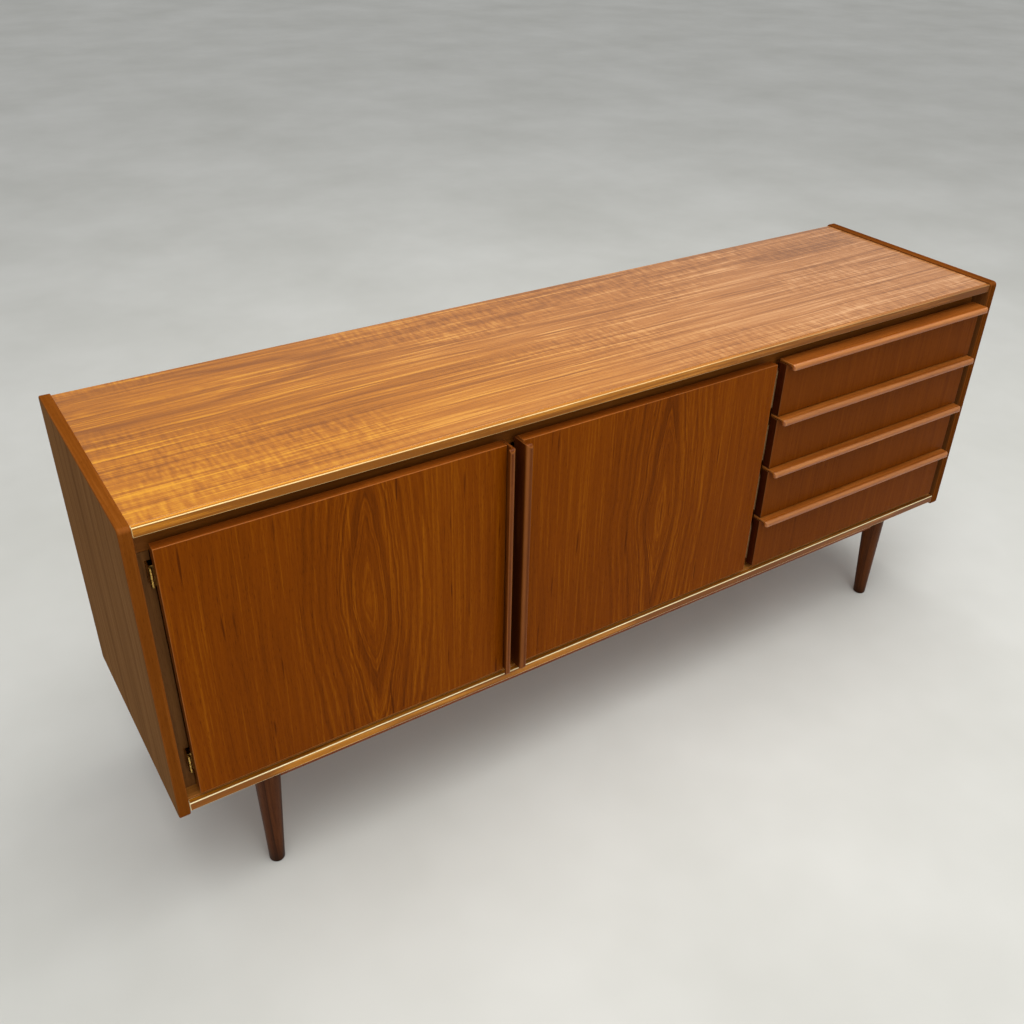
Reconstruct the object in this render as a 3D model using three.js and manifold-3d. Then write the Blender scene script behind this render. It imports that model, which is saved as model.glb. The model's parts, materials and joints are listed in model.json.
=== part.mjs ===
// A low teak sideboard: two hinged doors on the left, four drawers on the right, and a frame on
// four turned legs underneath. Millimetres; +X to the right, -Y to the front, +Z up. The origin
// is at floor height, midway across the width and midway between the foremost and rearmost points.

import * as THREE from "three";
import { mergeVertices } from "three/addons/utils/BufferGeometryUtils.js";
import Module from "manifold-3d";

// Clearance between pieces that touch.
const fit = 0.3;

// Case: overall sizes.
const caseWidth = 1830;
const caseDepth = 462;
const caseHeight = 551;
const legHeight = 229.5;

// Case: boards. Setbacks are measured back from the side panels' front edge.
const sideThickness = 18.5;
const sideCornerRadius = 8;
const topThickness = 16;
const topDrop = 4;
const topSetback = 3.3;
const topBackInset = 5;
const topLippingDepth = 9;
const bottomThickness = 18.5;
const bottomRise = 7.5;
const bottomSetback = 2;
const bottomLippingDepth = 11;
const bottomLippingThickness = 16.5;
const backThickness = 6;
const backInset = 8;
const recessDepth = 36;
const partitionThickness = 14;
const headRailDepth = 18;
const headRailHeight = 45;
const rightLinerThickness = 13;
const linerBehindDoor = 1.5;

// Shelves, let into housings cut in the uprights.
const shelfThickness = 16;
const shelfHeight = 247;
const shelfSetback = 60;
const housingDepth = 4;

// Fronts: gaps between them, and the space above and below.
const leftGap = 21;
const doorGap = 20;
const drawerGap = 24;
const rightGap = 16;
const frontSetback = 1.5;
const frontThickness = 19;
const frontLift = 13.5;
const frontHeadroom = 24.5;
const drawerFrontGap = 2;
const lowestDrawerExtra = 5;

// Handle strip: a thin plate along the edge of a front, ending in a rounded, turned-down nose.
const stripThickness = 5.5;
const stripReach = 20.5;
const noseRadius = 7;
const noseDrop = 11.5;
const noseTipRadius = 2;
const noseThickness = 7;
const stripCornerRadius = 6;

// Butt hinges between the doors and the uprights beside them.
const hingeHeight = 34;
const hingeInset = 54;
const pinOffset = 4.5;
const pinSetback = 17.25;
const pinRadius = 1.5;
const knuckleRadius = 3.25;
const leafThickness = 2;
const fixedLeafOverlap = 26;
const doorLeafOverlap = 20;
const doorLeafThickness = 1.6;
const stopBlockWidth = 34;
const stopBlockHeight = 10;
const stopBlockInset = 45;

// Drawer boxes and the runners they slide on.
const drawerBackClearance = 18;
const drawerRailClearance = 6.7;
const drawerBoxLift = 9;
const drawerBoxSideGap = 4;
const drawerSideThickness = 12;
const drawerBottomThickness = 5;
const drawerBottomLift = 6;
const drawerBottomGroove = 5;
const runnerHeight = 12;
const runnerGrooveDepth = 6;
const runnerSideClearance = 0.8;
const runnerBackExtra = 6;

// Underframe: legs tapered to the foot and leaning outwards, with rails between them.
const legTopRadius = 24;
const legFootRadius = 13.7;
const legFootRounding = 3;
const legInsetX = 160;
const legInsetY = 46;
const legLeanX = 5;
const legLeanY = 4;
const railHeight = 40;
const railThickness = 20;
const legSides = 28;

// Places worked out from the sizes above.
const frontY = -(caseDepth - (stripReach - frontSetback)) / 2;
const backY = frontY + caseDepth;
const middleY = frontY + caseDepth / 2;
const sideBottomZ = legHeight;
const sideTopZ = legHeight + caseHeight;
const innerHalf = caseWidth / 2 - sideThickness;
const underZ = sideBottomZ + bottomRise;
const floorZ = underZ + bottomThickness;
const lippingTopZ = underZ + bottomLippingThickness;
const topZ = sideTopZ - topDrop;
const ceilingZ = topZ - topThickness;
const recessY = frontY + recessDepth;
const insideBackY = backY - backInset - backThickness;
const frontBottomZ = lippingTopZ + frontLift;
const frontTopZ = ceilingZ - frontHeadroom;
const frontFaceY = frontY + frontSetback;
const frontRearY = frontFaceY + frontThickness;
const frontWidth = (2 * innerHalf - leftGap - doorGap - drawerGap - rightGap) / 3;
const leftDoorX = -innerHalf + leftGap;
const rightDoorX = leftDoorX + frontWidth + doorGap;
const drawerX = rightDoorX + frontWidth + drawerGap;
const pinY = frontY + pinSetback;
const hingeFaceOffset = pinOffset + leafThickness + fit;
const leftLinerThickness = leftGap - fit + linerBehindDoor;
const headRailBottomZ = ceilingZ - fit - headRailHeight;
const headRailRearY = recessY + headRailDepth;
const hingeLevels = {
  lower: frontBottomZ + hingeInset,
  upper: frontTopZ - hingeInset,
};
const shelfZ = floorZ + shelfHeight;

const teak = { color: 0x9c5a2a, roughness: 0.38, metalness: 0 };
const solidTeak = { color: 0xa96430, roughness: 0.42, metalness: 0 };
const innerTeak = { color: 0x5a3219, roughness: 0.6, metalness: 0 };
const darkWood = { color: 0x3d2314, roughness: 0.4, metalness: 0 };
const paleWood = { color: 0xc9a878, roughness: 0.65, metalness: 0 };
const brass = { color: 0xb8923f, roughness: 0.35, metalness: 1 };

const wasm = await Module();
wasm.setup();

const sideboard = new THREE.Group();
sideboard.name = "sideboard";

function addPiece(name, geometry, finish) {
  const mesh = new THREE.Mesh(geometry, new THREE.MeshStandardMaterial(finish));
  mesh.name = name;
  sideboard.add(mesh);
}

// A box between two x, two y and two z values.
function block([x0, x1], [y0, y1], [z0, z1]) {
  const box = new THREE.BoxGeometry(x1 - x0, y1 - y0, z1 - z0);
  return box.translate((x0 + x1) / 2, (y0 + y1) / 2, (z0 + z1) / 2);
}

function solidOf(geometry) {
  const bare = geometry.clone();
  bare.deleteAttribute("normal");
  bare.deleteAttribute("uv");
  const merged = mergeVertices(bare);
  const vertProperties = new Float32Array(merged.attributes.position.array);
  const triVerts = new Uint32Array(merged.index.array);
  return new wasm.Manifold(new wasm.Mesh({ numProp: 3, vertProperties, triVerts }));
}

function geometryOf(solid) {
  const { vertProperties, triVerts } = solid.getMesh();
  const indexed = new THREE.BufferGeometry();
  indexed.setAttribute("position", new THREE.BufferAttribute(vertProperties, 3));
  indexed.setIndex(new THREE.BufferAttribute(triVerts, 1));
  const geometry = indexed.toNonIndexed();
  geometry.computeVertexNormals();
  return geometry;
}

function cut(base, ...tools) {
  return geometryOf(tools.reduce((solid, tool) => solid.subtract(solidOf(tool)), solidOf(base)));
}

function join(base, ...others) {
  return geometryOf(others.reduce((solid, other) => solid.add(solidOf(other)), solidOf(base)));
}

function common(first, second) {
  return geometryOf(solidOf(first).intersect(solidOf(second)));
}

// Turns a shape drawn in the XY plane and extruded along Z so that its X and Y run along the
// two given directions, and moves its origin to a point.
function placed(geometry, xDirection, yDirection, origin) {
  const zDirection = xDirection.clone().cross(yDirection);
  const matrix = new THREE.Matrix4().makeBasis(xDirection, yDirection, zDirection);
  return geometry.clone().applyMatrix4(matrix.setPosition(origin));
}

const right = new THREE.Vector3(1, 0, 0);
const left = new THREE.Vector3(-1, 0, 0);
const front = new THREE.Vector3(0, -1, 0);
const up = new THREE.Vector3(0, 0, 1);

// ---- Case ----

// A side panel's outline is a rectangle with four rounded corners.
function sidePanel(x0) {
  const outline = new THREE.Shape();
  const [w, h, r] = [caseDepth, caseHeight, sideCornerRadius];
  outline.moveTo(r, 0);
  outline.lineTo(w - r, 0);
  outline.absarc(w - r, r, r, -Math.PI / 2, 0);
  outline.lineTo(w, h - r);
  outline.absarc(w - r, h - r, r, 0, Math.PI / 2);
  outline.lineTo(r, h);
  outline.absarc(r, h - r, r, Math.PI / 2, Math.PI);
  outline.lineTo(0, r);
  outline.absarc(r, r, r, Math.PI, 1.5 * Math.PI);
  const panel = new THREE.ExtrudeGeometry(outline, {
    depth: sideThickness,
    bevelEnabled: false,
    curveSegments: 4,
  });
  return placed(panel, front, up, new THREE.Vector3(x0 + sideThickness, backY, sideBottomZ));
}

const acrossCase = [-innerHalf + fit, innerHalf - fit];

function addCase() {
  addPiece("side_left", sidePanel(-caseWidth / 2), teak);
  addPiece("side_right", sidePanel(innerHalf), teak);

  const topLippingBackY = frontY + topSetback + topLippingDepth;
  const topSpan = [ceilingZ, topZ];
  const topLipping = block(acrossCase, [frontY + topSetback, topLippingBackY], topSpan);
  addPiece("top_front_lipping", topLipping, solidTeak);
  const topBackY = backY - topBackInset;
  addPiece("top_panel", block(acrossCase, [topLippingBackY + fit, topBackY], topSpan), teak);

  const lippingY = [frontY + bottomSetback, frontY + bottomSetback + bottomLippingDepth];
  const lipping = block(acrossCase, lippingY, [underZ, lippingTopZ]);
  addPiece("bottom_front_lipping", lipping, solidTeak);
  const bottomPanel = block(acrossCase, [lippingY[1] + fit, insideBackY - fit], [underZ, floorZ]);
  addPiece("bottom_panel", bottomPanel, innerTeak);

  const backSpanY = [insideBackY, insideBackY + backThickness];
  addPiece("back_panel", block(acrossCase, backSpanY, [underZ, ceilingZ - fit]), innerTeak);

  const headRailZ = [headRailBottomZ, ceilingZ - fit];
  addPiece("head_rail", block(acrossCase, [recessY, headRailRearY], headRailZ), innerTeak);
}

// An upright board inside the case, notched round the head rail, with a stopped housing for a
// shelf in each face listed in housedFaces (-1 for its left face, 1 for its right face), and with
// any further notches.
function upright(x0, thickness, housedFaces, notches = []) {
  const spanX = [x0, x0 + thickness];
  const board = block(spanX, [recessY, insideBackY - fit], [floorZ + fit, ceilingZ - fit]);
  const notchY = [recessY - fit, headRailRearY + fit];
  const notch = block([x0 - 1, x0 + thickness + 1], notchY, [headRailBottomZ - fit, ceilingZ]);
  const housings = housedFaces.map((face) => {
    const spans = { [-1]: [x0 - 1, x0 + housingDepth] };
    spans[1] = [x0 + thickness - housingDepth, x0 + thickness + 1];
    const housingY = [frontY + shelfSetback - fit, insideBackY];
    return block(spans[face], housingY, [shelfZ - fit, shelfZ + shelfThickness + fit]);
  });
  return cut(board, notch, ...housings, ...notches);
}

const leftLinerX = -innerHalf + fit;
const rightLinerX = innerHalf - fit - rightLinerThickness;
const rightPartitionX = rightDoorX + frontWidth + hingeFaceOffset;
const leftPartitionX = rightDoorX - (doorGap + partitionThickness) / 2;

// The left liner reaches a little way behind its door, so it has a notch for each hinge.
function hingeNotch(middleZ) {
  const notchX = [leftDoorX - hingeFaceOffset, leftLinerX + leftLinerThickness + 1];
  const notchY = [recessY - 1, recessY + fixedLeafOverlap + fit];
  const halfZ = hingeHeight / 2 + fit;
  return block(notchX, notchY, [middleZ - halfZ, middleZ + halfZ]);
}

function addUprights() {
  const hingeNotches = Object.values(hingeLevels).map(hingeNotch);
  const leftLiner = upright(leftLinerX, leftLinerThickness, [1], hingeNotches);
  addPiece("liner_left", leftLiner, innerTeak);
  addPiece("liner_right", upright(rightLinerX, rightLinerThickness, []), innerTeak);
  addPiece("partition_left", upright(leftPartitionX, partitionThickness, [-1, 1]), innerTeak);
  addPiece("partition_right", upright(rightPartitionX, partitionThickness, [-1]), innerTeak);
}

function addShelves() {
  const shelfY = [frontY + shelfSetback, insideBackY - fit];
  const shelfSpanZ = [shelfZ, shelfZ + shelfThickness];
  const bays = {
    left: [leftLinerX + leftLinerThickness, leftPartitionX],
    right: [leftPartitionX + partitionThickness, rightPartitionX],
  };
  for (const [side, [x0, x1]] of Object.entries(bays)) {
    const shelfX = [x0 - housingDepth + fit, x1 + housingDepth - fit];
    addPiece(`shelf_${side}`, block(shelfX, shelfY, shelfSpanZ), innerTeak);
  }
}

// ---- Handle strips ----

// The strip's section is drawn with X towards the front, measured from the face of the front,
// and Y out of the edge that the strip covers. It is extruded along its length, and its two
// foremost corners are rounded in plan.
function handleStrip(length) {
  const section = new THREE.Shape();
  const noseInside = stripReach - noseThickness;
  const scoopRadius = noseDrop - stripThickness;
  section.moveTo(-frontThickness, -stripThickness);
  section.lineTo(noseInside - scoopRadius, -stripThickness);
  section.absarc(noseInside - scoopRadius, -noseDrop, scoopRadius, Math.PI / 2, 0, true);
  section.lineTo(stripReach - noseTipRadius, -noseDrop);
  const tipY = noseTipRadius - noseDrop;
  section.absarc(stripReach - noseTipRadius, tipY, noseTipRadius, -Math.PI / 2, 0);
  section.lineTo(stripReach, -noseRadius);
  section.absarc(stripReach - noseRadius, -noseRadius, noseRadius, 0, Math.PI / 2);
  section.lineTo(-frontThickness, 0);
  const options = { depth: length, bevelEnabled: false, curveSegments: 5 };
  const bar = new THREE.ExtrudeGeometry(section, options);

  const plan = new THREE.Shape();
  const r = stripCornerRadius;
  plan.moveTo(-frontThickness - 1, 0);
  plan.lineTo(stripReach - r, 0);
  plan.absarc(stripReach - r, r, r, -Math.PI / 2, 0);
  plan.lineTo(stripReach, length - r);
  plan.absarc(stripReach - r, length - r, r, 0, Math.PI / 2);
  plan.lineTo(-frontThickness - 1, length);
  const planOptions = { depth: noseDrop + 2, bevelEnabled: false, curveSegments: 5 };
  const footprint = new THREE.ExtrudeGeometry(plan, planOptions);
  const footprintOrigin = new THREE.Vector3(0, 1, 0);
  return common(bar, placed(footprint, right, up, footprintOrigin));
}

// ---- Doors ----

// side is -1 for the door hinged on its left edge and 1 for the one hinged on its right edge.
const doors = [
  { name: "door_left", x0: leftDoorX, side: -1 },
  { name: "door_right", x0: rightDoorX, side: 1 },
];

function addDoor({ name, x0, side }) {
  const x1 = x0 + frontWidth;
  const panelX = side < 0 ? [x0, x1 - stripThickness - fit] : [x0 + stripThickness + fit, x1];
  const doorY = [frontFaceY, frontRearY];
  const doorZ = [frontBottomZ, frontTopZ];
  addPiece(`${name}_panel`, block(panelX, doorY, doorZ), teak);

  const strip = handleStrip(frontTopZ - frontBottomZ);
  const handleOrigin =
    side < 0
      ? new THREE.Vector3(x1, frontFaceY, frontBottomZ)
      : new THREE.Vector3(x0, frontFaceY, frontTopZ);
  addPiece(`${name}_handle`, placed(strip, front, side < 0 ? right : left, handleOrigin), solidTeak);

  const freeEdgeX = side < 0 ? x1 - stopBlockInset : x0 + stopBlockInset;
  const stopX = [freeEdgeX - stopBlockWidth / 2, freeEdgeX + stopBlockWidth / 2];
  const stopZ = [headRailBottomZ, headRailBottomZ + stopBlockHeight];
  const stopBlock = block(stopX, [frontRearY + fit, recessY - fit], stopZ);
  addPiece(`${name}_stop_block`, stopBlock, innerTeak);
}

// An upright cylinder on the hinge pin's line.
function pinCylinder(x, radius, [z0, z1]) {
  const cylinder = new THREE.CylinderGeometry(radius, radius, z1 - z0, 16);
  return cylinder.rotateX(Math.PI / 2).translate(x, pinY, (z0 + z1) / 2);
}

// A hinge of three knuckles: the leaf on the upright has the outer two and the pin, and the
// leaf on the door's back has the middle one, bored for the pin.
function addHinge({ name, x0, side }, level, middleZ) {
  const edgeX = side < 0 ? x0 : x0 + frontWidth;
  const pinX = edgeX + side * pinOffset;
  const [lowZ, highZ] = [middleZ - hingeHeight / 2, middleZ + hingeHeight / 2];
  const knuckle = hingeHeight / 3;
  const spanX = (a, b) => [Math.min(a, b), Math.max(a, b)];

  const fixedX = spanX(pinX, pinX + side * leafThickness);
  const fixedPlate = block(fixedX, [pinY, recessY + fixedLeafOverlap], [lowZ, highZ]);
  const middleZs = [lowZ + knuckle - fit, highZ - knuckle + fit];
  const plate = cut(fixedPlate, pinCylinder(pinX, knuckleRadius + fit, middleZs));
  const lowKnuckle = pinCylinder(pinX, knuckleRadius, [lowZ, middleZs[0]]);
  const highKnuckle = pinCylinder(pinX, knuckleRadius, [middleZs[1], highZ]);
  const pin = pinCylinder(pinX, pinRadius, [lowZ + fit, highZ - fit]);
  const fixedLeaf = join(plate, lowKnuckle, highKnuckle, pin);
  addPiece(`${name}_hinge_${level}_case_leaf`, fixedLeaf, brass);

  const doorPlateX = spanX(pinX - side * fit, edgeX - side * doorLeafOverlap);
  const doorPlateY = [pinY + knuckleRadius + fit, pinY + knuckleRadius + fit + doorLeafThickness];
  const doorPlate = block(doorPlateX, doorPlateY, [lowZ, highZ]);
  const bored = [lowZ + knuckle, highZ - knuckle];
  const barrel = pinCylinder(pinX, knuckleRadius, bored);
  const webX = spanX(pinX - side * fit, pinX - side * knuckleRadius);
  const web = block(webX, [pinY, doorPlateY[1]], bored);
  const bore = pinCylinder(pinX, pinRadius + fit, [lowZ, highZ]);
  addPiece(`${name}_hinge_${level}_door_leaf`, cut(join(doorPlate, barrel, web), bore), brass);
}

// ---- Drawers ----

const drawerCount = 4;
const frontsHeight = frontTopZ - frontBottomZ;
const drawerGaps = (drawerCount - 1) * drawerFrontGap;
const drawerHeight = (frontsHeight - drawerGaps - lowestDrawerExtra) / drawerCount;
const boxX0 = rightPartitionX + partitionThickness + drawerBoxSideGap;
const boxX1 = rightLinerX - drawerBoxSideGap;
const boxY0 = frontRearY + fit;
const boxY1 = insideBackY - drawerBackClearance;
const topBoxBottomZ = frontTopZ - drawerHeight + drawerBoxLift;
const boxHeight = headRailBottomZ - drawerRailClearance - topBoxBottomZ;
const runnerLift = (boxHeight - runnerHeight) / 2;
const runnerY0 = recessY + 5;
const bottomEdgeX0 = boxX0 + drawerSideThickness - drawerBottomGroove;
const bottomEdgeX1 = boxX1 - drawerSideThickness + drawerBottomGroove;

// Two sides and a back, with a groove for the bottom in the inner faces and one for a runner in
// each outer face.
function drawerBox(z0) {
  const bottomZ0 = z0 + drawerBottomLift;
  const bottomZ1 = bottomZ0 + drawerBottomThickness;
  const inside = [boxX0 + drawerSideThickness, boxX1 - drawerSideThickness];
  const z1 = z0 + boxHeight;
  const whole = block([boxX0, boxX1], [boxY0, boxY1], [z0, z1]);
  const hollow = block(inside, [boxY0 - 1, boxY1 - drawerSideThickness], [z0 - 1, z1 + 1]);
  const underBack = block(inside, [boxY0, boxY1 + 1], [z0 - 1, bottomZ1 + fit]);
  const grooveX = [bottomEdgeX0, bottomEdgeX1];
  const bottomGroove = block(grooveX, [boxY0 - 1, boxY1 + 1], [bottomZ0 - fit, bottomZ1 + fit]);
  const runnerZ = [z0 + runnerLift - fit, z0 + runnerLift + runnerHeight + fit];
  const grooveY = [runnerY0 - fit, boxY1 + 1];
  const leftGroove = block([boxX0 - 1, boxX0 + runnerGrooveDepth], grooveY, runnerZ);
  const rightGroove = block([boxX1 - runnerGrooveDepth, boxX1 + 1], grooveY, runnerZ);
  return cut(whole, hollow, underBack, bottomGroove, leftGroove, rightGroove);
}

function addDrawer(number, z0, height) {
  const name = `drawer_${number}`;
  const spanX = [drawerX, drawerX + frontWidth];
  const boxZ0 = z0 + drawerBoxLift;
  const bottomZ0 = boxZ0 + drawerBottomLift;
  const bottomZ1 = bottomZ0 + drawerBottomThickness;
  const stripUnderZ = z0 + height - stripThickness;
  const board = block(spanX, [frontFaceY, frontRearY], [z0, stripUnderZ - fit]);
  const grooveY = [frontRearY - drawerBottomGroove, frontRearY + 1];
  const groove = block([bottomEdgeX0, bottomEdgeX1], grooveY, [bottomZ0 - fit, bottomZ1 + fit]);
  addPiece(`${name}_front`, cut(board, groove), teak);

  const handleOrigin = new THREE.Vector3(drawerX + frontWidth, frontFaceY, z0 + height);
  const strip = handleStrip(frontWidth);
  addPiece(`${name}_handle`, placed(strip, front, up, handleOrigin), solidTeak);

  addPiece(`${name}_box`, drawerBox(boxZ0), paleWood);
  const bottomX = [bottomEdgeX0 + fit, bottomEdgeX1 - fit];
  const bottomY = [frontRearY - drawerBottomGroove + fit, boxY1];
  addPiece(`${name}_bottom`, block(bottomX, bottomY, [bottomZ0, bottomZ1]), paleWood);

  const runnerZ = [boxZ0 + runnerLift, boxZ0 + runnerLift + runnerHeight];
  const runnerY = [runnerY0, boxY1 + runnerBackExtra];
  const reach = runnerGrooveDepth - runnerSideClearance;
  const runners = {
    left: [rightPartitionX + partitionThickness + fit, boxX0 + reach],
    right: [boxX1 - reach, rightLinerX - fit],
  };
  for (const [side, runnerX] of Object.entries(runners)) {
    addPiece(`runner_${number}_${side}`, block(runnerX, runnerY, runnerZ), darkWood);
  }
}

function addDrawers() {
  let z0 = frontBottomZ;
  for (let number = drawerCount; number >= 1; number -= 1) {
    const height = drawerHeight + (number === drawerCount ? lowestDrawerExtra : 0);
    addDrawer(number, z0, height);
    z0 += height + drawerFrontGap;
  }
}

// ---- Underframe ----

// A turned leg with its foot on the floor and a lean towards (leanX, leanY), as a slope of the
// whole leg, so that its top and foot stay level. extra makes it fatter all round.
function legSolid(sideX, sideY, extra) {
  const foot = legFootRadius + extra;
  const profile = [
    new THREE.Vector2(0, 0),
    new THREE.Vector2(foot - legFootRounding, 0),
    new THREE.Vector2(foot - legFootRounding * 0.3, legFootRounding * 0.3),
    new THREE.Vector2(foot, legFootRounding),
    new THREE.Vector2(legTopRadius + extra, underZ - fit),
    new THREE.Vector2(0, underZ - fit),
  ];
  const turned = new THREE.LatheGeometry(profile, legSides).rotateX(Math.PI / 2);
  const [topX, topY] = legTopCentre(sideX, sideY);
  const shear = new THREE.Matrix4();
  shear.elements[8] = (-sideX * legLeanX) / underZ;
  shear.elements[9] = (-sideY * legLeanY) / underZ;
  shear.setPosition(topX + sideX * legLeanX, topY + sideY * legLeanY, 0);
  return turned.applyMatrix4(shear);
}

function legTopCentre(sideX, sideY) {
  return [sideX * (caseWidth / 2 - legInsetX), middleY + sideY * (caseDepth / 2 - legInsetY)];
}

const corners = [
  { name: "front_left", sideX: -1, sideY: -1 },
  { name: "front_right", sideX: 1, sideY: -1 },
  { name: "back_left", sideX: -1, sideY: 1 },
  { name: "back_right", sideX: 1, sideY: 1 },
];

function addUnderframe() {
  for (const { name, sideX, sideY } of corners) {
    addPiece(`leg_${name}`, legSolid(sideX, sideY, 0), darkWood);
  }
  const [rightX, rearY] = legTopCentre(1, 1);
  const [leftX, foreY] = legTopCentre(-1, -1);
  const half = railThickness / 2;
  const railZ = [underZ - fit - railHeight, underZ - fit];
  const rails = {
    rail_front: block([leftX, rightX], [foreY - half, foreY + half], railZ),
    rail_back: block([leftX, rightX], [rearY - half, rearY + half], railZ),
    rail_left: block([leftX - half, leftX + half], [foreY, rearY], railZ),
    rail_right: block([rightX - half, rightX + half], [foreY, rearY], railZ),
  };
  const legs = corners.map(({ sideX, sideY }) => legSolid(sideX, sideY, fit));
  for (const [name, rail] of Object.entries(rails)) {
    addPiece(name, cut(rail, ...legs), darkWood);
  }
}

addCase();
addUprights();
addShelves();
for (const door of doors) {
  addDoor(door);
  for (const [level, middleZ] of Object.entries(hingeLevels)) {
    addHinge(door, level, middleZ);
  }
}
addDrawers();
addUnderframe();

export default sideboard;
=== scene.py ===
import json

import bpy
import numpy as np
from mathutils import Euler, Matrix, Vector

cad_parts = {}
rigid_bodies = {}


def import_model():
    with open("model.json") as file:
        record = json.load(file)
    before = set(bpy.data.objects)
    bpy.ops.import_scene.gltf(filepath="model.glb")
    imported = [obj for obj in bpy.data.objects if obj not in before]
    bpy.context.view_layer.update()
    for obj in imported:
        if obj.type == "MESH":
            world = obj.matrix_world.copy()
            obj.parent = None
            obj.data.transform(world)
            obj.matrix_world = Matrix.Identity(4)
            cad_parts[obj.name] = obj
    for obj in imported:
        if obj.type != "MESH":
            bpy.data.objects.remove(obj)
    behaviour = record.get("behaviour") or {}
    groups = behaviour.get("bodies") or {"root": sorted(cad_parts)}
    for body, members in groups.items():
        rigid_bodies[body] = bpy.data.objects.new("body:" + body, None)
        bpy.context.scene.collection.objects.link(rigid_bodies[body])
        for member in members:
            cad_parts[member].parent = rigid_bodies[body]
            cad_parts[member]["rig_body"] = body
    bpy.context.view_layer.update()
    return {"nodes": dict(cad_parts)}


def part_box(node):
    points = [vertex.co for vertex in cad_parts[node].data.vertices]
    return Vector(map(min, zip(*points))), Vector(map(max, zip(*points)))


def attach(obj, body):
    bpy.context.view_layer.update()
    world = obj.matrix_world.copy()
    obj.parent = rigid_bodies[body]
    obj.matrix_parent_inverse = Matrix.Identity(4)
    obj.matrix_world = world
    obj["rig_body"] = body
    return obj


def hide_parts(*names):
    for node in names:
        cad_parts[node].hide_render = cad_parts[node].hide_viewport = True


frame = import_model()


view = {
    "place": (-1.1055, -1.4437, 1.5509),
    "turn": (57.353, -1.119, -32.735),  # degrees about X, Y and Z
    "lens": 36.85,
    "sensor": 36.0,
    "shift": (-0.0008, -0.0034),
}


def addCamera():
    data = bpy.data.cameras.new("sideboardCamera")
    data.lens = view["lens"]
    data.sensor_width = view["sensor"]
    data.shift_x, data.shift_y = view["shift"]
    data.clip_end = 100
    camera = bpy.data.objects.new("sideboardCamera", data)
    camera.location = view["place"]
    camera.rotation_euler = Euler(np.radians(view["turn"]))
    bpy.context.scene.collection.objects.link(camera)
    bpy.context.scene.camera = camera


lamps = {
    "ceiling": {"kind": "AREA", "place": (0.2, -0.4, 3.3), "aim": (0.0, -0.1, 0.5),
                "size": (4.4, 2.6), "energy": 92, "colour": (1.0, 0.985, 0.955)},
    "window": {"kind": "AREA", "place": (-0.9, -3.7, 2.4), "aim": (-0.1, 0.0, 0.5),
               "size": (2.4, 1.8), "energy": 30, "colour": (0.98, 0.99, 1.0)},
    "daylight": {"kind": "SUN", "place": (-0.6, -1.2, 4.0), "aim": (0.0, 0.0, 0.0),
                 "angle": 80, "energy": 0.75, "colour": (1.0, 0.99, 0.97)},
}
room = {"colour": (0.95, 0.97, 1.0), "strength": 0.4}


def addLight():
    for name, lamp in lamps.items():
        data = bpy.data.lights.new(name + "Lamp", lamp["kind"])
        if lamp["kind"] == "AREA":
            data.shape = "RECTANGLE"
            data.size, data.size_y = lamp["size"]
        else:
            data.angle = np.radians(lamp["angle"])
        data.energy = lamp["energy"]
        data.color = lamp["colour"]
        piece = bpy.data.objects.new(name + "Lamp", data)
        piece.location = lamp["place"]
        aim = Vector(lamp["aim"]) - Vector(lamp["place"])
        piece.rotation_euler = aim.to_track_quat("-Z", "Y").to_euler()
        bpy.context.scene.collection.objects.link(piece)
    world = bpy.data.worlds.new("paleRoom")
    world.use_nodes = True
    background = world.node_tree.nodes["Background"]
    background.inputs["Color"].default_value = (*room["colour"], 1)
    background.inputs["Strength"].default_value = room["strength"]
    bpy.context.scene.world = world
    bpy.context.scene.view_settings.view_transform = "Standard"


# A socket that can be used in arithmetic: each operator adds one Math node.
class Wire:
    def __init__(self, tree, socket):
        self.tree = tree
        self.socket = socket

    def math(self, operation, first, second=0.0):
        node = self.tree.nodes.new("ShaderNodeMath")
        node.operation = operation
        for slot, value in zip(node.inputs, (first, second)):
            connect(self.tree, slot, value)
        return Wire(self.tree, node.outputs[0])

    def __add__(self, other):
        return self.math("ADD", self, other)

    def __radd__(self, other):
        return self.math("ADD", other, self)

    def __sub__(self, other):
        return self.math("SUBTRACT", self, other)

    def __rsub__(self, other):
        return self.math("SUBTRACT", other, self)

    def __mul__(self, other):
        return self.math("MULTIPLY", self, other)

    def __rmul__(self, other):
        return self.math("MULTIPLY", other, self)

    def __truediv__(self, other):
        return self.math("DIVIDE", self, other)

    def __pow__(self, other):
        return self.math("POWER", self, other)

    def __abs__(self):
        return self.math("ABSOLUTE", self)


def connect(tree, slot, value):
    if isinstance(value, Wire):
        tree.links.new(value.socket, slot)
    elif isinstance(value, tuple) and len(value) == 3 and len(slot.default_value) == 4:
        slot.default_value = (*value, 1)
    else:
        slot.default_value = value


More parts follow.
